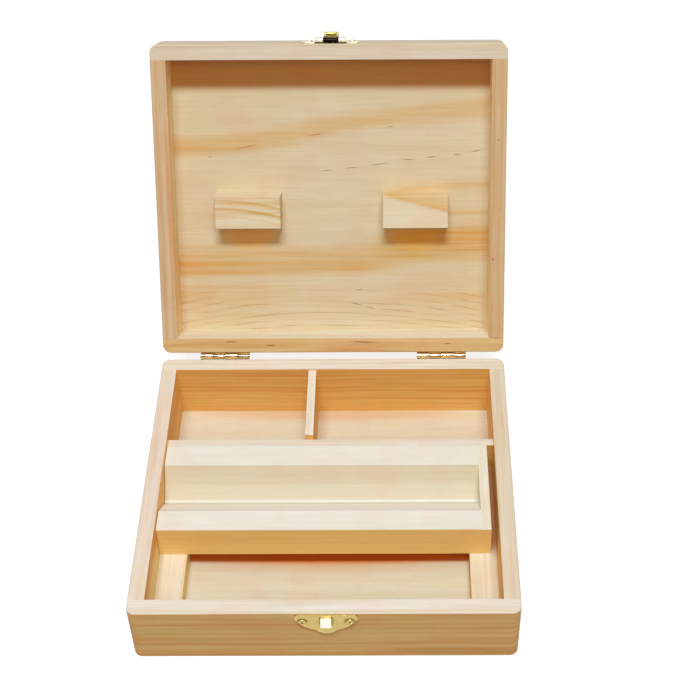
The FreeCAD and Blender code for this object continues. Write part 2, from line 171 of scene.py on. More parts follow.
def addLamp(name, place, aim, size, power, colour):
    place = Vector(place)
    bpy.ops.object.light_add(type="AREA", location=place)
    lamp = bpy.context.object
    lamp.name = name
    lamp.rotation_euler = (Vector(aim) - place).to_track_quat("-Z", "Y").to_euler()
    lamp.data.shape = "RECTANGLE"
    lamp.data.size, lamp.data.size_y = size
    lamp.data.energy = power
    lamp.data.color = hexColour(colour)[:3]


def makeLights():
    lean, far, aim = math.radians(lightLevels["keyLean"]), lightLevels["keyDistance"], lightLevels["keyAim"]
    addLamp("overheadSoftBox", (aim[0], aim[1] - far * math.sin(lean), aim[2] + far * math.cos(lean)), aim,
            lightLevels["keySize"], lightLevels["keyPower"], lightLevels["keyColour"])
    addLamp("frontSoftBox", lightLevels["softPlace"], lightLevels["softAim"], lightLevels["softSize"],
            lightLevels["softPower"], lightLevels["softColour"])


def shownToEye(tree):
    # 1 for what the camera sees straight, in a reflection or through glass
    path = addNode(tree, "LightPath", take=None)
    seen = addNode(tree, "Math", {0: path.outputs["Is Camera Ray"], 1: path.outputs["Is Glossy Ray"]},
                   operation="MAXIMUM")
    return addNode(tree, "Math", {0: seen, 1: path.outputs["Is Transmission Ray"]}, operation="MAXIMUM")


def makeRoom():
    # White to the camera and in reflections, and a warm even fill for everything else,
    # the light that bare wood and a table throw back
    world = bpy.data.worlds.new("whiteRoom")
    bpy.context.scene.world = world
    world.use_nodes = True
    tree = world.node_tree
    tree.nodes.clear()
    shown = shownToEye(tree)
    colour = addNode(tree, "Mix", {0: shown, 6: hexColour(lightLevels["roomColour"]), 7: (1, 1, 1, 1)},
                     **colourMix)
    strength = addNode(tree, "MapRange", {
        "Value": shown, "To Min": lightLevels["roomFill"], "To Max": 1.0})
    back = addNode(tree, "Background", {"Color": colour, "Strength": strength})
    addNode(tree, "OutputWorld", {"Surface": back}, take=None)


def makeFloor():
    bpy.ops.mesh.primitive_plane_add(size=paperFloor["size"], location=(0, 0, -paperFloor["drop"]))
    floor = bpy.context.object
    floor.name = "paleFloor"
    material, tree, shader = newMaterial("paleFloorPaper")
    shader.inputs["Base Color"].default_value = hexColour(paperFloor["tone"])
    shader.inputs["Roughness"].default_value = 1.0
    shader.inputs["Specular IOR Level"].default_value = 0.0
    shader.inputs["Emission Color"].default_value = (1, 1, 1, 1)
    glow = addNode(tree, "Math", {0: shownToEye(tree), 1: paperFloor["glow"]}, operation="MULTIPLY")
    tree.links.new(glow, shader.inputs["Emission Strength"])
    floor.data.materials.append(material)


makeLights()
makeRoom()
makeFloor()
bpy.context.scene.view_settings.view_transform = "Standard"
print("lights, room and floor made")


# Pine, planed and sanded bare. Growth rings are drawn as the real ones lie, as rings about
# the heart of the tree, so each face of a board shows its own cut through them: flames and
# broad bands on the faces, fine lines on the edges, arcs on the ends.

lidTurn = math.radians(lidHinge["open"] - 180)      # turns the open lid's depth to +Y
lidShift = Matrix.Rotation(lidTurn, 3, "X") @ Vector((0, lidHinge["y"] * mm, lidHinge["z"] * mm))

plainPine = {
    "lid": False,            # described in the shut lid's frame: X, depth from its pins, up to its rim
    "along": "X",            # the way the grain runs
    "rings": None,           # the axis of the rings, where it isn't the same
    "heart": (40.0, -60.0),  # mm, where the heart of the tree is, on the other two axes
    "ringGap": 2.6,          # mm
    "ringDepth": 0.55,
    "warp": 1.6,             # mm
    "fibre": 0.06,           # how much the fibres darken it
    "pale": "#E8C08A",
    "dark": "#CF9552",
    "faces": (),             # (direction, pale, dark) where a face differs, partly by painted shade
    "marks": (),             # (middle mm, half size mm, turn degrees, colour, share) of single streaks, and of patches of painted shade and light
    "resin": 0.24,           # how strong the resin canals are
    "figure": None,          # a function that paints a board's own broad figure
}

# Noise in the grain: how often it repeats along and across it per metre, its detail, and the
# shares of the board's seed that it is shifted by
grainNoise = {
    "wander": ((11, 34), 1.6, (1, 1.7, 0)),      # slow wander of the rings along the board
    "fibre": ((45, 1500), 2.5, (0, 0, 0)),       # drawn at 0.5 mm: the real ones, at 0.03 mm, don't show
    "streak": ((14, 320), 2.0, (3, 0, 1)),       # 2 to 4 mm wide, where the wood is a little browner
    "canal": ((260, 2600), 0.0, (0, 0, 0)),      # resin canals, short thin brown dashes
}

grainLook = {
    "year": [(0.0, 0.25), (0.1, 0.02), (0.45, 0.16), (0.78, 0.75), (0.9, 1.0), (1.0, 0.25)],
    "yearDepth": (0.15, 1.8),
    "streaks": {"From Min": 0.42, "From Max": 0.72},
    "faceReach": (0.2, 0.45),
    "clouds": [(0.36, "#FFFAF7"), (0.5, "#FFFFFF"), (0.64, "#FDFFF9")],
    "cloudScale": 50.0,
    "resin": "#7A4A22",
    "canals": {"From Min": 0.78, "From Max": 0.88},
    "rough": {"To Min": 0.66, "To Max": 0.54},   # of the early wood and the late wood
    "sheen": 0.3,
    "bump": 0.25,
    "bumpHeight": 0.12,      # mm
}


def pineBase(tree, wood):
    # Place and direction in the frame in which the board is described
    coords = addNode(tree, "TexCoord", take=None)
    place, facing = coords.outputs["Object"], coords.outputs["Normal"]
    if wood["lid"]:
        place = addNode(tree, "Mapping", {
            "Vector": place, "Rotation": (lidTurn, 0, 0), "Location": -lidShift})
        facing = addNode(tree, "Mapping", {"Vector": facing, "Rotation": (lidTurn, 0, 0)},
                         vector_type="VECTOR")
    return place, facing


def paintSpot(tree, place, colour, middle, half, turn, tone, share, edge=0.35):
    # A soft-edged ellipsoid of colour in mm about its middle: a streak or cloud in the wood, and also each
    # patch of painted shade and light
    near = addNode(tree, "Mapping", {
        "Vector": place, "Location": [v * mm for v in middle], "Scale": [v * mm for v in half],
        "Rotation": [math.radians(v) for v in turn]}, vector_type="TEXTURE")
    reach = addNode(tree, "VectorMath", {0: near}, take="Value", operation="LENGTH")
    cover = addNode(tree, "MapRange", {"Value": reach, "From Min": 1.0, "From Max": edge, "To Max": share},
                    interpolation_type="SMOOTHSTEP")
    return addNode(tree, "Mix", {0: cover, 6: colour, 7: hexColour(tone)}, **colourMix)


def pineMaterial(name, wood, seed):
    # Bare softwood: IOR 1.5, matt, with a faint sheen where the plane left it smooth
    material, tree, shader = newMaterial(name)
    place, facing = pineBase(tree, wood)
    axes = {"X": (1, 0, 0), "Y": (0, 1, 0), "Z": (0, 0, 1)}
    lengthwise = axes[wood["along"]]
    across = [1 - v for v in axes[wood["rings"] or wood["along"]]]
    heart = iter(wood["heart"])
    toHeart = [-next(heart) * mm if v else 0 for v in across]
    grain = addNode(tree, "VectorMath", {0: place, 1: toHeart}, operation="ADD")

    # the wander is taken as a direction and the others as a strength
    noise = {}
    for pattern, ((along, sideways), detail, shift) in grainNoise.items():
        spread = addNode(tree, "Mapping", {
            "Vector": grain, "Scale": [along if v else sideways for v in lengthwise],
            "Location": [seed * share for share in shift]})
        noise[pattern] = addNode(tree, "TexNoise", {
            "Vector": spread, "Scale": 1.0, "Detail": detail}, take=1 if pattern == "wander" else 0)

    bend = addNode(tree, "VectorMath", {
        0: noise["wander"], 1: [2 * wood["warp"] * mm] * 3, 2: [-wood["warp"] * mm] * 3},
        operation="MULTIPLY_ADD")
    bent = addNode(tree, "VectorMath", {0: grain, 1: bend}, operation="ADD")
    flat = addNode(tree, "VectorMath", {0: bent, 1: across}, operation="MULTIPLY")
    radius = addNode(tree, "VectorMath", {0: flat}, take="Value", operation="LENGTH")
    count = addNode(tree, "Math", {0: radius, 1: 1 / (wood["ringGap"] * mm)}, operation="MULTIPLY")
    ring = addNode(tree, "Math", {0: count}, operation="FRACT")
    late = addNode(tree, "ValToRGB", {"Fac": ring}, stops=grainLook["year"], take=None)
    late.color_ramp.interpolation = "B_SPLINE"
    # some rings are strong and others hardly show
    years = addNode(tree, "TexNoise", {"W": count, "Scale": 0.55, "Detail": 1.0}, noise_dimensions="1D")
    weak, strong = grainLook["yearDepth"]
    yearDepth = addNode(tree, "MapRange", {
        "Value": years, "From Min": 0.3, "From Max": 0.7, "To Min": weak * wood["ringDepth"],
        "To Max": strong * wood["ringDepth"]})
    ringTone = addNode(tree, "Math", {0: late.outputs[0], 1: yearDepth}, operation="MULTIPLY")

    pale, dark = hexColour(wood["pale"]), hexColour(wood["dark"])
    # each face direction gets its own pale and dark wood, partly painted shade
    for direction, facePale, faceDark, *limits in wood["faces"]:
        aim = addNode(tree, "VectorMath", {0: facing, 1: direction}, take="Value", operation="DOT_PRODUCT")
        low, high = limits or grainLook["faceReach"]
        share = addNode(tree, "MapRange", {"Value": aim, "From Min": low, "From Max": high})
        pale = addNode(tree, "Mix", {0: share, 6: pale, 7: hexColour(facePale)}, **colourMix)
        dark = addNode(tree, "Mix", {0: share, 6: dark, 7: hexColour(faceDark)}, **colourMix)
    browner = addNode(tree, "MapRange", {
        "Value": noise["streak"], **grainLook["streaks"], "To Max": wood["ringDepth"]})
    tone = addNode(tree, "Math", {0: ringTone, 1: browner}, operation="ADD", use_clamp=True)
    colour = addNode(tree, "Mix", {0: tone, 6: pale, 7: dark}, **colourMix)
    if wood["figure"]:
        colour = wood["figure"](tree, place, colour)
    # faint rosy and greenish clouds, 12 mm or so across
    clouds = addNode(tree, "TexNoise", {"Vector": place, "Scale": grainLook["cloudScale"], "Detail": 1.0})
    tint = addNode(tree, "ValToRGB", {"Fac": clouds}, stops=grainLook["clouds"])
    colour = addNode(tree, "Mix", {0: 1.0, 6: colour, 7: tint}, **colourMix, blend_type="MULTIPLY")
    shade = addNode(tree, "MapRange", {
        "Value": noise["fibre"], "From Min": 0.3, "From Max": 0.7, "To Min": 1 - wood["fibre"],
        "To Max": 1 + wood["fibre"] * 0.4}, clamp=False)
    colour = addNode(tree, "Mix", {0: 1.0, 6: colour, 7: shade}, **colourMix, blend_type="MULTIPLY")

    resin = addNode(tree, "MapRange", {
        "Value": noise["canal"], **grainLook["canals"], "To Max": wood["resin"]})
    colour = addNode(tree, "Mix", {0: resin, 6: colour, 7: hexColour(grainLook["resin"])}, **colourMix)
    for mark in wood["marks"]:
        colour = paintSpot(tree, place, colour, *mark)
    tree.links.new(colour, shader.inputs["Base Color"])

    rough = addNode(tree, "MapRange", {"Value": tone, **grainLook["rough"]})
    tree.links.new(rough, shader.inputs["Roughness"])
    shader.inputs["Specular IOR Level"].default_value = grainLook["sheen"]
    height = addNode(tree, "Math", {0: noise["fibre"], 1: tone}, operation="ADD")
    bump = addNode(tree, "Bump", {
        "Height": height, "Strength": grainLook["bump"], "Distance": grainLook["bumpHeight"] * mm})
    tree.links.new(bump, shader.inputs["Normal"])
    return material


# The lid's panel: broad orange bands that rise to the right, wavy thin lines low down, and painted shadows
# of the front board and the blocks.
# Places and lengths are in mm, depth counted from the hinge pins towards the front of the shut lid.

panelFigure = {
    "orange": "#D49A30",
    "bandReach": 160.0,
    # place up the panel as a share of the reach, and how strong the orange is there
    "leftBands": [(0.0, 0.18), (0.125, 0.24), (0.165, 0.42), (0.2, 0.30), (0.222, 0.08), (0.243, 0.72),
                  (0.285, 0.70), (0.315, 0.42), (0.345, 0.16), (0.42, 0.24), (0.47, 0.14), (0.615, 0.14),
                  (0.63, 0.54), (0.665, 0.62), (0.70, 0.16), (1.0, 0.12)],
    "middleBands": [(0.0, 0.12), (0.18, 0.12), (0.22, 0.02), (0.245, 0.62), (0.29, 0.50), (0.33, 0.08),
                    (0.5, 0.02), (0.62, 0.06), (0.645, 0.50), (0.67, 0.42), (0.70, 0.05), (1.0, 0.03)],
    "rightBands": [(0.0, 0.12), (0.14, 0.25), (0.16, 0.42), (0.18, 0.2), (0.245, 0.1), (0.275, 0.65),
                   (0.325, 0.88), (0.345, 0.3), (0.365, 0.2), (0.375, 0.5), (0.395, 0.12), (0.43, 0.15),
                   (0.447, 0.5), (0.465, 0.1), (0.6, 0.05), (0.635, 0.42), (0.665, 0.50), (0.69, 0.14),
                   (1.0, 0.1)],
    "leftToMiddle": {"From Min": -52.0, "From Max": -4.0},
    "middleToRight": {"From Min": 12.0, "From Max": 44.0},
    # each band stands higher at the right, the more so the further up it is
    "rise": {"From Min": 27.3, "From Max": 109.4, "To Max": 19.3},
    "toRight": {"From Min": -75.0, "From Max": 75.0},
    "sway": {"To Min": -3.2, "To Max": 3.2},
    "patch": {"From Min": 0.3, "From Max": 0.7, "To Min": 0.65, "To Max": 1.2},
    "line": "#A9702F",
    "lineTone": [(0.0, 0.0), (0.42, 0.1), (0.5, 1.0), (0.6, 0.15), (1.0, 0.0)],
    "lineGap": 3.25,
    "lineDepth": {"From Min": 34.0, "From Max": 24.0},
    "lineBreaks": {"From Min": 0.42, "From Max": 0.60, "To Max": 0.62},
    "archMiddle": -2.0,
    "archBend": 0.0014,
    # painted shadow of the front board along the top of the panel
    "boardShadowTone": "#CB8B3E",
    "boardShadowReach": {"From Min": 131.5, "From Max": 136.5, "To Max": 0.75},
    "innerFace": {"From Min": -19.6, "From Max": -18.6},
    # painted shadows below the two blocks
    "blockShadowTone": "#F6B748",
    "blockShadowMiddles": [(-42.0, 60.5, -17.7), (41.9, 60.5, -17.7)],
    "blockShadowHalf": (17, 11, 2.2),
    "blockShadowShare": (0.55, 0.5),
}


def paintPanel(tree, place, colour):
    f = panelFigure
    inMm = addNode(tree, "VectorMath", {0: place, "Scale": 1 / mm}, operation="SCALE")
    axes = addNode(tree, "SeparateXYZ", {0: inMm}, take=None)
    x, depth, height = axes.outputs
    rise = addNode(tree, "MapRange", {"Value": depth, **f["rise"]})
    toRight = addNode(tree, "MapRange", {"Value": x, **f["toRight"]}, interpolation_type="SMOOTHSTEP")
    lift = addNode(tree, "Math", {0: rise, 1: toRight}, operation="MULTIPLY")
    level = addNode(tree, "Math", {0: depth, 1: lift}, operation="SUBTRACT")
    waves = addNode(tree, "Mapping", {"Vector": place, "Scale": (9, 60, 1)})
    wave = addNode(tree, "TexNoise", {"Vector": waves, "Scale": 1.0, "Detail": 2.0})
    sway = addNode(tree, "MapRange", {"Value": wave, **f["sway"]})
    level = addNode(tree, "Math", {0: level, 1: sway}, operation="ADD")
    up = addNode(tree, "Math", {0: level, 1: f["bandReach"]}, operation="DIVIDE")
    strong = addNode(tree, "ValToRGB", {"Fac": up}, stops=f["leftBands"])
    for reach, side in (("leftToMiddle", "middleBands"), ("middleToRight", "rightBands")):
        bands = addNode(tree, "ValToRGB", {"Fac": up}, stops=f[side])
        onward = addNode(tree, "MapRange", {"Value": x, **f[reach]}, interpolation_type="SMOOTHSTEP")
        strong = addNode(tree, "Mix", {0: onward, 6: strong, 7: bands}, **colourMix)
    # the bands are streaky along the grain
    streaky = addNode(tree, "Mapping", {"Vector": place, "Scale": (16, 420, 1)})
    streaks = addNode(tree, "TexNoise", {"Vector": streaky, "Scale": 1.0, "Detail": 3.0})
    patch = addNode(tree, "MapRange", {"Value": streaks, **f["patch"]})
    strong = addNode(tree, "Math", {0: strong, 1: patch}, operation="MULTIPLY", use_clamp=True)
    colour = addNode(tree, "Mix", {0: strong, 6: colour, 7: hexColour(f["orange"])}, **colourMix)
    # wavy year lines that arch over the lowest part
    arch = addNode(tree, "Math", {0: x, 1: -f["archMiddle"]}, operation="ADD")
    arch = addNode(tree, "Math", {0: arch, 1: arch}, operation="MULTIPLY")
    arch = addNode(tree, "Math", {0: arch, 1: f["archBend"]}, operation="MULTIPLY")
    hill = addNode(tree, "Math", {0: depth, 1: arch}, operation="ADD")
    hill = addNode(tree, "Math", {0: hill, 1: sway}, operation="ADD")
    hill = addNode(tree, "Math", {0: hill, 1: f["lineGap"]}, operation="DIVIDE")
    turn = addNode(tree, "Math", {0: hill}, operation="FRACT")
    line = addNode(tree, "ValToRGB", {"Fac": turn}, stops=f["lineTone"])
    low = addNode(tree, "MapRange", {"Value": depth, **f["lineDepth"]})
    broken = addNode(tree, "MapRange", {"Value": streaks, **f["lineBreaks"]})
    cover = addNode(tree, "Math", {0: low, 1: broken}, operation="MULTIPLY")
    cover = addNode(tree, "Math", {0: cover, 1: line}, operation="MULTIPLY")
    colour = addNode(tree, "Mix", {0: cover, 6: colour, 7: hexColour(f["line"])}, **colourMix)
    # painted shadow: darker, redder wood on the panel's inner face along the front board and below the
    # blocks, where they shade it
    deep = addNode(tree, "MapRange", {"Value": depth, **f["boardShadowReach"]}, interpolation_type="SMOOTHSTEP")
    within = addNode(tree, "MapRange", {"Value": height, **f["innerFace"]})
    deep = addNode(tree, "Math", {0: deep, 1: within}, operation="MULTIPLY")
    colour = addNode(tree, "Mix", {0: deep, 6: colour, 7: hexColour(f["boardShadowTone"])}, **colourMix)
    # painted shadow below each block
    for middle in f["blockShadowMiddles"]:
        colour = paintSpot(tree, place, colour, middle, f["blockShadowHalf"], unturned, f["blockShadowTone"],
                           *f["blockShadowShare"])
    return colour


# The right block: an orange wedge above a slanting line, pale below it

wedgeFigure = {
    "corner": (25.8, 81.1),  # mm
    "slope": 0.26,
    "reach": {"From Min": -2.0, "From Max": 10.0},
    "tone": [(0.0, 0.0), (0.10, 0.0), (0.26, 0.9), (0.45, 0.7), (1.0, 0.3)],
    "orange": "#E3BA72",
}


def paintWedge(tree, place, colour):
    f = wedgeFigure
    slant = addNode(tree, "Mapping", {
        "Vector": place, "Location": (-f["corner"][0] * mm, -f["corner"][1] * mm, 0)})
    aim = addNode(tree, "VectorMath", {0: slant, 1: (f["slope"] / mm, 1 / mm, 0)},
                  take="Value", operation="DOT_PRODUCT")
    share = addNode(tree, "MapRange", {"Value": aim, **f["reach"]})
    above = addNode(tree, "ValToRGB", {"Fac": share}, stops=f["tone"])
    return addNode(tree, "Mix", {0: above, 6: colour, 7: hexColour(f["orange"])}, **colourMix)


def dash(x, y, length, turn=0, wide=0.35, share=0.75, tone="#7A4420"):
    # A short resin streak in a face, with its turn about Z; it is deep enough to reach that face
    return ((x, y, 0), (length / 2, wide, 40), (0, 0, turn), tone, share)


up, front, back, left, right = (0, 0, 1), (0, -1, 0), (0, 1, 0), (-1, 0, 0), (1, 0, 0)
unturned = (0, 0, 0)

# pale and dark wood for each kind of face, partly the wood's own end, edge and face grain and partly
# painted shade: faces turned away from the lamp get oranger, more saturated wood
outside = {"pale": "#EDC986", "dark": "#DDA85C"}
inside = {"pale": "#F4C773", "dark": "#E6A853"}
lidSide = {"pale": "#FFEDBE", "dark": "#F3CB86"}
lidRim = ("#E1D4BF", "#D7C4A2")
bayWall = ("#FBD286", "#ECB25C")
ledgeTop = ("#E8DFC6", "#DBC69C")
trayFront = ("#F8D789", "#EBB960")
# painted shadow: the floor under and before the tray's front is painted dark orange, where the tray shades
# it
trayShade = "#E4720E"

woods = {
    "base_front_board": dict(outside, heart=(30, -70), ringGap=2.4,
        faces=[(up, "#EAE3D5", "#DDC9A8"), (back, *inside.values())], marks=[
            ((60, -77.5, 4), (50, 3, 4), unturned, "#C98840", 0.5),
            ((-30, -77.5, 9), (40, 3, 1.2), unturned, "#C4924F", 0.35)]),
    "base_rear_board": dict(outside, heart=(-40, -90), ringGap=2.0,
        faces=[(up, "#ECE2D4", "#DFC9A7"), (front, *inside.values())]),
    "base_left_board": dict(outside, along="Y", heart=(-30, -80), ringGap=2.2,
        faces=[(up, "#EBDECE", "#DEC5A2"), (right, *bayWall)],
        # painted light: a pale yellow patch on the left wall around the front bay
        marks=[((-78, -56, 12), (12, 42, 19), unturned, "#FFF0B8", 0.85, 0.5)]),
    "base_right_board": dict(outside, along="Y", heart=(30, -80), ringGap=2.2,
        faces=[(up, "#E2D7C0", "#D6BF97"), (left, *bayWall)]),
    "lid_front_board": dict(outside, lid=True, heart=(190, 60), ringGap=2.4,
        faces=[(up, *lidRim), (back, *lidRim)]),
    "lid_rear_board": dict(outside, lid=True, heart=(-30, 60), ringGap=2.2,
        faces=[(up, "#E0BF88", "#CC9858"), (back, "#F0E7CC", "#E5D0A9")], marks=[
            dash(-51.8, 7.6, 8, 0, 0.4), dash(-31.6, 5.7, 7, 2, 0.4),
            dash(15.6, 7.2, 18, -3, 0.4), dash(58, 6.3, 4.5, 0, 0.4),
            dash(12, 4.5, 60, 2, 1.6, 0.35, tone="#C98B48"),
            dash(83, 9.3, 7, 0, 0.45, 0.8, tone="#6B3413")]),
    "lid_left_board": dict(lidSide, lid=True, along="Y", heart=(-40, 60), ringGap=2.2,
        faces=[(up, "#DAC09C", "#CFA573")], marks=[
            dash(-80.3, 70, 110, 90, 1.0, 0.55, tone="#DB925C"),
            dash(-84.5, 42, 40, 90, 1.6, 0.30, tone="#B98A5C")]),
    "lid_right_board": dict(lidSide, lid=True, along="Y", heart=(40, 60), ringGap=2.2,
        faces=[(up, "#D7BA8E", "#CC9F68")], marks=[
            dash(82.5, 110, 1.2, 90, 0.6), dash(80.6, 50, 2, 90, 0.6)]),
    "lid_panel": dict(lid=True, heart=(20, 160), ringGap=6.0, ringDepth=0.12,
        pale="#DED2B2", dark="#D1B378", figure=paintPanel, marks=[
            dash(-61, 99.4, 3.2, -2), dash(-42.3, 104.4, 16, 11, 0.3),
            dash(-7.5, 110.4, 13, 8, 0.3), dash(29.7, 114.2, 4.6, -3),
            dash(-3, 92.2, 9, 7, 0.3), dash(10, 93.6, 10, 6), dash(24, 95.4, 13, 8, 0.4),
            dash(38.5, 97.6, 9, -4), dash(50, 98.9, 8, 5, 0.45), dash(63, 100.1, 7, 6, 0.4),
            dash(72.5, 101.9, 9, 12, 0.45), dash(13.1, 30.2, 6.5, 8),
            dash(11.5, 22.7, 9, -10, 0.4), dash(19, 20.6, 7, -17)]),
    "bottom_panel": dict(heart=(10, -140), ringGap=5.0, ringDepth=0.3,
        pale="#DFD4B9", dark="#D4BE93", marks=[
            # painted shade on the floor along the rear wall
            ((0, 68, 2), (90, 7, 4), unturned, "#D3A05C", 0.55),
            # painted shadow of the tray on the front bay's floor: a soft halo, then its dark core
            ((0, -26, 2), (120, 12, 4), unturned, "#D59A55", 0.55, 0.0),
            ((0, -15, 2), (160, 14.6, 4), unturned, trayShade, 0.95, 0.72)]),
    "cross_partition": dict(inside, heart=(40, -60), ringGap=2.0,
        faces=[(up, "#E8DECE", "#DBC5A2")]),
    "rear_divider": dict(inside, along="Y", heart=(40, -60), ringGap=2.0,
        faces=[(up, "#F3EDE3", "#E6D3B3")]),
    "left_ledge": dict(inside, along="Y", heart=(-30, -60), ringGap=2.0,
        # painted light: the ledge's inner side is given near-white yellow wood where it lies in shade
        faces=[(up, *ledgeTop), (right, "#FDF1AE", "#F2DC94")]),
    "right_ledge": dict(inside, along="Y", heart=(30, -60), ringGap=2.0,
        faces=[(up, *ledgeTop)],
        # painted shade: the ledge's top is painted warm brown in the gap beside the tray, where the tray
        # shades it
        marks=[((79, 6, 12), (13, 40, 14), unturned, "#C67A42", 0.9, 0.7)]),
    "tray_block": dict(heart=(10, -90), ringGap=3.0, ringDepth=0.18, fibre=0.035, resin=0.1,
        pale="#D8CCB1", dark="#CFBC96",
        faces=[(up, "#EAE8DA", "#E1D7B9", 0.9, 0.98), (front, *trayFront, 0.9, 0.97)],
        # painted light: the groove's front wall is painted near white, to lift the shade that the front
        # rail casts on it
        marks=[((0, -11.5, 23.8), (200, 9.6, 1.6), (-40.5, 0, 0), "#FDF9EC", 0.85, 0.8)]),
    "tray_end_board": dict(along="Y", heart=(30, -60), ringGap=2.0, ringDepth=0.18, fibre=0.035,
        resin=0.1, pale="#EAE4D0", dark="#E1D3B1",
        faces=[(front, *trayFront, 0.9, 0.97)]),
    "lid_block_left": dict(lid=True, rings="Z", heart=(-57, -39), ringGap=4.1, ringDepth=0.6, warp=0.5,
        pale="#E8DCBD", dark="#D3AB64"),
    "lid_block_right": dict(lid=True, heart=(10, 60), ringGap=14.0, ringDepth=0.15,
        pale="#E8DCBD", dark="#DDBE8C", figure=paintWedge),
}

for seed, (node, wood) in enumerate(woods.items(), start=1):
    slots = nodes[node].data.materials
    material = pineMaterial("sandedPine_" + node, {**plainPine, **wood}, seed)
    if slots:
        slots[0] = material
    else:
        slots.append(material)
print("pine given to", len(woods), "nodes")


# Tools for shaping the brass by hand in edit mode

mostly = 0.9   # a face or edge counts as lying along an axis where this share of its direction does


def choose(piece):
    # The piece alone is chosen, in object mode
    if bpy.context.mode != "OBJECT":
        bpy.ops.object.mode_set(mode="OBJECT")
    bpy.ops.object.select_all(action="DESELECT")
    piece.select_set(True)
    bpy.context.view_layer.objects.active = piece


def pick(piece, kind, wanted):
    # Edit mode with just the faces, edges or verts chosen whose middle, in mm, and direction are
    # wanted. The small bare numbers in those tests, 0.1 mm or less, are slack for rounding.
    bpy.ops.object.mode_set(mode="EDIT")
    bpy.ops.mesh.select_mode(type={"faces": "FACE", "edges": "EDGE", "verts": "VERT"}[kind])
    bpy.ops.mesh.select_all(action="DESELECT")
    shape = bmesh.from_edit_mesh(piece.data)
    for item in getattr(shape, kind):
        if kind == "edges":
            a, b = (vert.co for vert in item.verts)
            item.select = wanted((a + b) / 2 / mm, (b - a).normalized())
        elif kind == "faces":
            item.select = wanted(item.calc_center_median() / mm, item.normal)
        else:
            item.select = wanted(item.co / mm, item.normal)
    shape.select_flush_mode()
    bmesh.update_edit_mesh(piece.data)


def finish(piece, name, body, replaced, edge=0.08, parts=2, angle=35):
    # A worn edge, smooth shading, its place in the mesh, and the body it rides on
    choose(piece)
    piece.name = name
    if edge:
        bevel = piece.modifiers.new("wornEdge", "BEVEL")
        bevel.width, bevel.segments, bevel.limit_method = edge * mm, parts, "ANGLE"
        bevel.angle_limit = math.radians(angle)
        bpy.ops.object.modifier_apply(modifier=bevel.name)
    bpy.ops.object.transform_apply(location=True, rotation=True, scale=True)
    bpy.ops.object.shade_smooth_by_angle(angle=math.radians(angle))
    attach(piece, body)
    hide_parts(*replaced)


def copyOf(piece, turn=None):
    # A copy with a mesh of its own, moved or turned there
    again = piece.copy()
    again.data = piece.data.copy()
    bpy.context.collection.objects.link(again)
    if turn:
        again.data.transform(turn)
    return again


def joined(pieces):
    # All of them in the first one's mesh
    choose(pieces[0])
    for piece in pieces:
        piece.select_set(True)
    bpy.ops.object.join()
    return pieces[0]


def about(axis, angle, point):
    # A turn in degrees about a line through a point in mm
    middle, turn = Vector(point) * mm, Matrix.Rotation(math.radians(angle), 4, axis)
    return Matrix.Translation(middle) @ turn @ Matrix.Translation(-middle)


lidSwing = about("X", -lidHinge["open"], (0, lidHinge["y"], lidHinge["z"]))


# Small pan-head screws with a cross recess

panScrew = {
    "head": 1.7, "rim": 0.24, "crown": 1.15, "headHeight": 0.7, "shank": 0.8, "length": 5.8,
    "tip": 0.25, "point": 0.2,
    "slotWide": 0.42, "slotLong": 1.7, "slotDeep": 0.42, "slotTaper": 0.6,
    "turns": (12, 57, 31, 80, 66, 22, 5, 48, 38, 71, 17, 63),
}


def makePanScrew():
    # Stands on the origin with its head up
    s = panScrew
    bpy.ops.mesh.primitive_cylinder_add(vertices=32, radius=s["head"] * mm, depth=s["rim"] * mm,
                                        location=(0, 0, s["rim"] / 2 * mm))
    screw = bpy.context.object
    choose(screw)
    bpy.ops.object.transform_apply(location=True)
    # three steps round the head over to its crown
    rise = (s["headHeight"] - s["rim"]) / 3
    pick(screw, "faces", lambda place, normal: normal.z > mostly)
    for share, up in ((0.90, 1.3), (0.84, 1.0), (s["crown"] / s["head"] / 0.76, 0.7)):
        bpy.ops.mesh.extrude_region_move(TRANSFORM_OT_translate={"value": (0, 0, rise * up * mm)})
        bpy.ops.transform.resize(value=(share, share, 1))
    pick(screw, "faces", lambda place, normal: normal.z < -mostly)
    bpy.ops.mesh.inset(thickness=(s["head"] - s["shank"]) * mm)
    for part in (1 - s["tip"], s["tip"]):
        bpy.ops.mesh.extrude_region_move(TRANSFORM_OT_translate={"value": (0, 0, -s["length"] * part * mm)})
    bpy.ops.transform.resize(value=(s["point"], s["point"], 1))
    bpy.ops.object.mode_set(mode="OBJECT")
    bpy.ops.mesh.primitive_cube_add(size=s["slotWide"] * mm, location=(0, 0, s["headHeight"] * mm))
    driver = bpy.context.object
    choose(driver)
    bpy.ops.object.transform_apply(location=True)
    arm = (s["slotLong"] - s["slotWide"]) / 2 * mm
    for x, y in ((1, 0), (-1, 0), (0, 1), (0, -1)):
        pick(driver, "faces", lambda place, normal: normal.x * x + normal.y * y > mostly
             and abs(place.x * y) + abs(place.y * x) < 0.05)
        bpy.ops.mesh.extrude_region_move(TRANSFORM_OT_translate={"value": (x * arm, y * arm, 0)})
    pick(driver, "verts", lambda place, normal: place.z < s["headHeight"])
    bpy.ops.transform.translate(value=(0, 0, (s["slotWide"] / 2 - s["slotDeep"]) * mm))
    bpy.ops.transform.resize(value=(s["slotTaper"], s["slotTaper"], 1), center_override=(0, 0, 0))
    bpy.ops.object.mode_set(mode="OBJECT")
    choose(screw)
    cut = screw.modifiers.new("crossRecess", "BOOLEAN")
    cut.operation, cut.object, cut.solver = "DIFFERENCE", driver, "EXACT"
    bpy.ops.object.modifier_apply(modifier=cut.name)
    bpy.data.objects.remove(driver)
    return screw


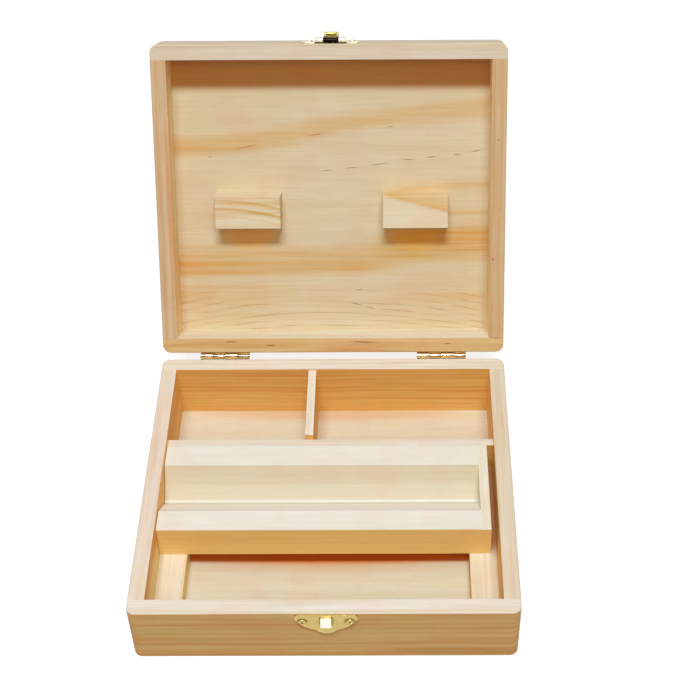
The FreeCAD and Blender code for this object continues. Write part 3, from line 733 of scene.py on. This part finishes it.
def placeScrews(model, seats, out, swing, name, body):
    # One copy in each seat, its slots at another angle each time; out is 1 where they face the back
    copies = []
    for index, seat in enumerate(seats):
        angle = panScrew["turns"][(index + len(name)) % len(panScrew["turns"])]
        turn = Matrix.Rotation(math.radians(angle), 4, "Z")
        stand = Matrix.Rotation(math.radians(-90 * out), 4, "X")
        copies.append(copyOf(model, swing @ Matrix.Translation(Vector(seat) * mm) @ stand @ turn))
    finish(joined(copies), name + "Screws", body, [name + "_screws"], edge=0.05, parts=1, angle=40)


# Half-moon plates of the clasp, stamped from sheet, with a lobe. One hangs from the box's top
# edge and the other stands on the shut lid's foot.

moonPlate = {
    "x": 1.0, "front": -78.3, "thick": 0.8, "half": 13.9, "radius": 15.5, "rise": 4.0, "round": 1.8,
    "innerRound": 0.45, "lobe": 5.0, "lobeDrop": 8.4, "screws": 10.4, "screwDrop": 5.0, "edgeDrop": 0.5,
    "boxTop": 33.0, "lidFoot": 33.4, "punched": (-79, -77),
}
claspXs = [moonPlate["x"] - moonPlate["screws"], moonPlate["x"] + moonPlate["screws"]]


def makeMoonPlate(edge, down):
    # edge is the height of the straight side, down is 1 where the plate hangs below it and -1 above
    p = moonPlate
    middle = p["front"] + p["thick"] / 2
    bpy.ops.mesh.primitive_cylinder_add(vertices=128, radius=p["radius"] * mm, depth=p["thick"] * mm,
                                        location=Vector((p["x"], middle, edge + down * p["rise"])) * mm,
                                        rotation=(math.pi / 2, 0, 0))
    plate = bpy.context.object
    choose(plate)
    bpy.ops.object.transform_apply(location=True, rotation=True)
    cuts = (((p["x"], 0, edge), (0, 0, down)), ((p["x"] + p["half"], 0, 0), (1, 0, 0)),
            ((p["x"] - p["half"], 0, 0), (-1, 0, 0)))
    for place, side in cuts:
        bpy.ops.object.mode_set(mode="EDIT")
        bpy.ops.mesh.select_all(action="SELECT")
        bpy.ops.mesh.bisect(plane_co=Vector(place) * mm, plane_no=side, clear_outer=True, use_fill=True,
                            threshold=1e-6)
    # the ends are rounded much at the straight edge and a little where they meet the arc
    for offset, straight in ((p["round"], True), (p["innerRound"], False)):
        pick(plate, "edges", lambda place, along: abs(along.y) > mostly
             and abs(abs(place.x - p["x"]) - p["half"]) < 0.01 and (abs(place.z - edge) < 0.01) == straight)
        bpy.ops.mesh.bevel(offset=offset * mm, segments=6, affect="EDGES")
    bpy.ops.object.mode_set(mode="OBJECT")
    bpy.ops.mesh.primitive_cylinder_add(vertices=64, radius=p["lobe"] * mm, depth=p["thick"] * mm,
                                        location=Vector((p["x"], middle, edge - down * p["lobeDrop"])) * mm,
                                        rotation=(math.pi / 2, 0, 0))
    lobe = bpy.context.object
    choose(plate)
    union = plate.modifiers.new("lobe", "BOOLEAN")
    union.operation, union.object, union.solver = "UNION", lobe, "EXACT"
    bpy.ops.object.modifier_apply(modifier=union.name)
    bpy.data.objects.remove(lobe)
    return plate


# Sheet strips: an edge laid down, drawn out along a line by extruding, and rolled round a pin

def layStrip(wide, line, cuts=()):
    # line is the (y, z) of the middle of the sheet, wide its (left, right) x, cuts the x of cross lines
    bpy.ops.mesh.primitive_plane_add(size=1)
    strip = bpy.context.object
    choose(strip)
    pick(strip, "verts", lambda place, normal: place.y > 0)
    bpy.ops.mesh.delete(type="VERT")
    pick(strip, "verts", lambda place, normal: True)
    bpy.ops.transform.resize(value=((wide[1] - wide[0]) * mm, 0, 0), center_override=(0, 0, 0))
    bpy.ops.transform.translate(value=Vector(((wide[0] + wide[1]) / 2, line[0][0], line[0][1])) * mm)
    bpy.ops.mesh.select_mode(type="EDGE")
    bpy.ops.mesh.select_all(action="SELECT")
    for (y, z), (nextY, nextZ) in zip(line, line[1:]):
        bpy.ops.mesh.extrude_region_move(
            TRANSFORM_OT_translate={"value": Vector((0, nextY - y, nextZ - z)) * mm})
    for x in cuts:
        bpy.ops.mesh.select_all(action="SELECT")
        bpy.ops.mesh.bisect(plane_co=(x * mm, 0, 0), plane_no=(1, 0, 0), threshold=1e-6)
    return strip


def rollOn(strip, wanted, centre, angle, steps):
    # Rolls the wanted end edges on round a line along x through centre, (y, z)
    pick(strip, "edges", wanted)
    bpy.ops.mesh.spin(steps=steps, angle=math.radians(angle), center=Vector((0, centre[0], centre[1])) * mm,
                      axis=(1, 0, 0))


def roundBends(strip, wanted, offset):
    # Rounds the sheet's sharp folds
    pick(strip, "edges", wanted)
    bpy.ops.mesh.bevel(offset=offset * mm, segments=5, affect="EDGES")


def thicken(strip, thick):
    # The sheet's thickness, half to either side of it
    choose(strip)
    bpy.ops.object.mode_set(mode="EDIT")
    bpy.ops.mesh.select_all(action="SELECT")
    bpy.ops.mesh.remove_doubles(threshold=0.00001)
    bpy.ops.mesh.normals_make_consistent(inside=False)
    bpy.ops.object.mode_set(mode="OBJECT")
    sheet = strip.modifiers.new("sheet", "SOLIDIFY")
    sheet.thickness, sheet.offset = thick * mm, 0.0
    bpy.ops.object.modifier_apply(modifier=sheet.name)
    bpy.ops.object.mode_set(mode="EDIT")
    bpy.ops.mesh.select_all(action="SELECT")
    bpy.ops.mesh.normals_make_consistent(inside=False)
    bpy.ops.object.mode_set(mode="OBJECT")


def cutBox(piece, low, high):
    # Takes a square-cornered piece out of the sheet, as a punch does
    low, high = Vector(low) * mm, Vector(high) * mm
    bpy.ops.mesh.primitive_cube_add(size=mm, location=(low + high) / 2)
    punch = bpy.context.object
    choose(punch)
    pick(punch, "faces", lambda place, normal: True)
    bpy.ops.transform.resize(value=(high - low) / mm)
    bpy.ops.object.mode_set(mode="OBJECT")
    choose(piece)
    cut = piece.modifiers.new("punch", "BOOLEAN")
    cut.operation, cut.object, cut.solver = "DIFFERENCE", punch, "EXACT"
    bpy.ops.object.modifier_apply(modifier=cut.name)
    bpy.data.objects.remove(punch)


# Strike plate, with the hook pressed out of it

hook = {
    "wide": 4.8, "thick": 0.8, "slit": 0.45,
    "line": [(-77.95, 31.95), (-79.9, 29.7), (-79.9, 26.1)],
    "window": (25.3, 31.6), "bend": 0.7, "corner": 0.7, "wornEdge": 0.09,
}


def makeStrikePlate():
    plate = makeMoonPlate(moonPlate["boxTop"] - moonPlate["edgeDrop"], 1)
    left, right = (moonPlate["x"] + side * hook["wide"] / 2 for side in (-1, 1))
    (near, far), (foot, top) = moonPlate["punched"], hook["window"]
    cutBox(plate, (left - hook["slit"], near, foot), (right + hook["slit"], far, top))
    strip = layStrip((left, right), hook["line"])
    bendZ, tipZ = (z for y, z in hook["line"][1:])
    roundBends(strip, lambda place, along: abs(along.x) > mostly and abs(place.z - bendZ) < 0.05,
               hook["bend"])
    pick(strip, "verts", lambda place, normal: place.z < tipZ + 0.1)
    bpy.ops.mesh.bevel(offset=hook["corner"] * mm, segments=4, affect="VERTICES")
    thicken(strip, hook["thick"])
    finish(joined([plate, strip]), "strikePlate", "box", ["strike_plate"], edge=hook["wornEdge"])


# Hasp plate on the lid, with a rolled knuckle on either side of the arm

haspRoll = {
    "y": -79.05, "z": 35.4, "middle": 1.0, "thick": 0.8, "inner": 3.8, "outer": 7.6, "angle": -305,
    "strap": [(-77.9, 37.9), (-77.9, 36.6)],
    "notch": (33.0, 37.1), "notchGap": 0.2,
}


def makeHaspPlate():
    r, x = haspRoll, moonPlate["x"]
    plate = makeMoonPlate(moonPlate["lidFoot"] + moonPlate["edgeDrop"], -1)
    (near, far), (foot, top), half = moonPlate["punched"], r["notch"], r["outer"] + r["notchGap"]
    cutBox(plate, (x - half, near, foot), (x + half, far, top))
    parts = [plate]
    for side in (-1, 1):
        ends = sorted((x + side * r["inner"], x + side * r["outer"]))
        strap = layStrip(ends, r["strap"] + [(r["y"] + r["middle"], r["z"])])
        rollOn(strap, lambda place, along: place.z < r["z"] + 0.05 and abs(along.x) > mostly,
               (r["y"], r["z"]), r["angle"], 20)
        thicken(strap, r["thick"])
        parts.append(strap)
    plate = joined(parts)
    plate.data.transform(lidSwing)
    finish(plate, "haspPlate", "lid", ["hasp_plate"])


# Arm of the hasp: a slotted strip rolled round the pin, with its tip turned out

haspArm = {
    "wide": 7.2, "thick": 0.8, "slotWide": 5.2, "slot": (-2.4, -9.6), "fold": 164.01, "angle": -285,
    "bend": 0.8, "corner": 1.2,
    "line": [(-4.0, -13.2), (0, -11.25), (0, -9.6), (0, -2.4), (-0.45, -1.5), (-0.9, -0.7), (-1.0, 0)],
}


def makeHaspArm():
    a, r, x = haspArm, haspRoll, moonPlate["x"]
    half, slotHalf, pin = a["wide"] / 2, a["slotWide"] / 2, (r["y"], r["z"])
    line = [(pin[0] + y, pin[1] + z) for y, z in a["line"]]
    arm = layStrip((x - half, x + half), line, cuts=(x - slotHalf, x + slotHalf))
    top, foot = (pin[1] + z for z in a["slot"])
    pick(arm, "faces", lambda place, normal: foot < place.z < top and abs(place.x - x) < slotHalf)
    bpy.ops.mesh.delete(type="FACE")
    rollOn(arm, lambda place, along: abs(place.z - pin[1]) < 0.01 and abs(along.x) > mostly,
           pin, a["angle"], 18)
    roundBends(arm, lambda place, along: abs(along.x) > mostly and abs(place.z - line[1][1]) < 0.05,
               a["bend"])
    pick(arm, "verts", lambda place, normal: place.z < line[0][1] + 0.1 and abs(place.x - x) > half - 0.1)
    bpy.ops.mesh.bevel(offset=a["corner"] * mm, segments=5, affect="VERTICES")
    thicken(arm, a["thick"])
    arm.data.transform(lidSwing @ about("X", -a["fold"], (0, *pin)))
    finish(arm, "haspArm", "hasp_arm", ["hasp_arm"])


# Butt hinges: one leaf with knuckles rolled from its sheet, copied to all four places

buttHinge = {
    "middle": 55.0, "length": 25.0, "height": 11.0, "thick": 0.9, "roll": 1.15, "angle": -310, "gap": 0.2,
    "knuckles": 4, "wall": 77.5, "plateTop": 9.1, "corner": 1.0, "screws": 7.5, "screwDrop": 6.6,
}


def makeLeaf():
    # The left lower one, with the first and the third knuckle
    h, y, z = buttHinge, lidHinge["y"], lidHinge["z"]
    left = -h["middle"] - h["length"] / 2
    pitch = h["length"] / h["knuckles"]
    sheetY, foot = h["wall"] + h["thick"] / 2, z - h["height"]
    top = foot + h["plateTop"]
    spans = [(left + i * pitch + h["gap"] / 2, left + (i + 1) * pitch - h["gap"] / 2) for i in (0, 2)]
    leaf = layStrip((left, left + h["length"]), [(sheetY, foot), (sheetY, top)],
                    cuts=[x for span in spans for x in span])
    pick(leaf, "edges", lambda place, along: place.z > top - 0.01 and abs(along.x) > mostly
         and any(a < place.x < b for a, b in spans))
    bpy.ops.mesh.extrude_region_move(
        TRANSFORM_OT_translate={"value": Vector((0, y - h["roll"] - sheetY, z - top)) * mm})
    rollOn(leaf, lambda place, along: place.z > z - 0.01 and abs(along.x) > mostly, (y, z), h["angle"], 22)
    # the corner away from the pin is nipped round
    pick(leaf, "verts", lambda place, normal: place.z < foot + 0.1
         and abs(place.x + h["middle"]) > h["length"] / 2 - 0.1)
    bpy.ops.mesh.bevel(offset=h["corner"] * mm, segments=5, affect="VERTICES")
    thicken(leaf, h["thick"])
    return leaf


def makeHinges():
    h = buttHinge
    leaf = makeLeaf()
    over = about("Y", 180, (-h["middle"], 0, lidHinge["z"]))
    across = Matrix.Translation((2 * h["middle"] * mm, 0, 0))
    for side, shift in (("left", Matrix.Identity(4)), ("right", across)):
        finish(copyOf(leaf, shift), side + "HingeBaseLeaf", "box", [side + "_hinge_base_leaf"])
        turned = lidSwing @ shift @ over
        finish(copyOf(leaf, turned), side + "HingeLidLeaf", "lid", [side + "_hinge_lid_leaf"])
    bpy.data.objects.remove(leaf)


def makeScrews():
    h, p, pinZ, still = buttHinge, moonPlate, lidHinge["z"], Matrix.Identity(4)
    xs = [middle + step for middle in (-h["middle"], h["middle"]) for step in (-h["screws"], h["screws"])]
    wall = h["wall"] + h["thick"]
    model = makePanScrew()
    placeScrews(model, [(x, wall, pinZ - h["screwDrop"]) for x in xs], 1, still, "base_hinge", "box")
    placeScrews(model, [(x, wall, pinZ + h["screwDrop"]) for x in xs], 1, lidSwing, "lid_hinge", "lid")
    placeScrews(model, [(x, p["front"], p["boxTop"] - p["screwDrop"]) for x in claspXs], -1,
                still, "strike", "box")
    placeScrews(model, [(x, p["front"], p["lidFoot"] + p["screwDrop"]) for x in claspXs], -1,
                lidSwing, "hasp", "lid")
    bpy.data.objects.remove(model)


makeScrews()
makeStrikePlate()
makeHaspPlate()
makeHaspArm()
makeHinges()
print("brass pieces made")


# Yellow brass, stamped and bright: thin cheap sheet with a soft shine, faintly clouded

plainBrass = {"bright": "#D3BD7B", "dull": "#B99E55", "rough": 0.27, "cloud": 2.4, "spots": ()}

# The hinges' rolled barrels, round the pin: how far out in mm the painted reflection bands reach, and
# the turn in radians that they are spread over, with a little unevenness along them
barrel = {"reach": 1.8, "turn": {"From Min": 0.84, "From Max": 3.98}, "drift": 0.12, "driftScale": 150.0}


def brassMaterial(name, brass):
    material, tree, shader = newMaterial(name)
    place = addNode(tree, "TexCoord", take="Object")
    cloud = addNode(tree, "TexNoise", {"Vector": place, "Scale": 1000 / brass["cloud"], "Detail": 3.0})
    colour = addNode(tree, "Mix", {0: cloud, 6: hexColour(brass["bright"]), 7: hexColour(brass["dull"])},
                     **colourMix)
    if "rolled" in brass:
        # painted reflection: the barrel is painted with near-white and near-black bands round the pin, as a
        # lamp's shine and dark reflections would lie on it
        axes = addNode(tree, "SeparateXYZ", {0: place}, take=None)
        across, rise = (addNode(tree, "Math", {0: axes.outputs[index], 1: lidHinge[axis] * mm},
                                operation="SUBTRACT") for index, axis in ((1, "y"), (2, "z")))
        angle = addNode(tree, "Math", {0: rise, 1: across}, operation="ARCTAN2")
        drift = addNode(tree, "TexNoise", {
            "W": axes.outputs[0], "Scale": barrel["driftScale"], "Detail": 0.0}, noise_dimensions="1D")
        angle = addNode(tree, "Math", {0: drift, 1: barrel["drift"], 2: angle}, operation="MULTIPLY_ADD")
        share = addNode(tree, "MapRange", {"Value": angle, **barrel["turn"]})
        bands = addNode(tree, "ValToRGB", {0: share}, stops=brass["rolled"])
        near = addNode(tree, "VectorMath", {0: addNode(tree, "CombineXYZ", {1: across, 2: rise})},
                       take="Value", operation="LENGTH")
        near = addNode(tree, "Math", {0: near, 1: barrel["reach"] * mm}, operation="LESS_THAN")
        colour = addNode(tree, "Mix", {0: near, 6: colour, 7: bands}, **colourMix)
    for spot in brass["spots"]:
        colour = paintSpot(tree, place, colour, *spot)
    tree.links.new(colour, shader.inputs["Base Color"])
    shader.inputs["Metallic"].default_value = 1.0
    rough = addNode(tree, "MapRange", {
        "Value": cloud, "From Min": 0.3, "From Max": 0.7,
        "To Min": brass["rough"] * 0.8, "To Max": brass["rough"] * 1.3})
    tree.links.new(rough, shader.inputs["Roughness"])
    return material


sheetBrass = brassMaterial("stampedYellowBrass", plainBrass)
# painted highlight: the hook is painted almost white; painted shade darkens the plate beside the hook and
# round the screws
strikeBrass = brassMaterial("rubbedYellowBrass", dict(plainBrass, spots=[
    ((1.0, -78.3, 28.5), (4.2, 0.6, 4.6), unturned, "#8F8A45", 0.75, 0.6),
    *(((x, -78.3, 28.5), (2.7, 0.6, 2.2), unturned, "#66581E", 0.8, 0.75) for x in claspXs),
    ((1.0, -80.3, 29.0), (6.0, 1.5, 9.0), unturned, "#FFF6E2", 1.0, 0.9)]))
# painted dark reflection: the pin and the roll of the arm are painted nearly black
armBrass = brassMaterial("tarnishedYellowBrass", dict(plainBrass, bright="#E6DB98", dull="#CDBB6C", spots=[
    ((1.0, 157.6, 170.8), (9, 4.6, 4.6), unturned, "#15120C", 1.0, 0.85)]))
# the hasp plate is greyed all over
haspBrass = brassMaterial("greyedYellowBrass", dict(plainBrass, bright="#E4DEC6", dull="#C9C0A0"))
# painted reflection bands round the hinges' pins
hingeBrass = brassMaterial("rolledYellowBrass", dict(plainBrass, rolled=[
    (0.0, "#CDB275"), (0.14, "#DDB686"), (0.22, "#5E3F18"), (0.30, "#E9CE98"), (0.36, "#FFF8DC"),
    (0.43, "#FFF1C4"), (0.49, "#1E1305"), (0.56, "#2A1B08"), (0.62, "#D8B478"), (0.8, "#E8C68C"),
    (1.0, "#C2A55C")]))
# painted shade: the strike plate's screws are darkened in their cross recesses
screwBrass = brassMaterial("darkenedYellowBrass", dict(plainBrass, spots=[
    ((x, -78.6, 28.0), (0.95, 0.6, 0.95), unturned, "#3F2C0E", 0.95, 0.6) for x in claspXs]))
givenBrass = {"strikePlate": strikeBrass, "haspArm": armBrass, "haspPlate": haspBrass, "hasp_pin": armBrass,
              "haspScrews": haspBrass, "strikeScrews": screwBrass}
brassNodes = [nodes[node] for node in nodes if node not in woods]
brassEnds = ("Screws", "Plate", "Arm", "Leaf")
for piece in bpy.data.objects:
    if piece in brassNodes or piece.type == "MESH" and piece.name.endswith(brassEnds):
        fits = hingeBrass if "inge" in piece.name and "crews" not in piece.name else sheetBrass
        piece.data.materials.clear()
        piece.data.materials.append(givenBrass.get(piece.name, fits))
print("brass given")
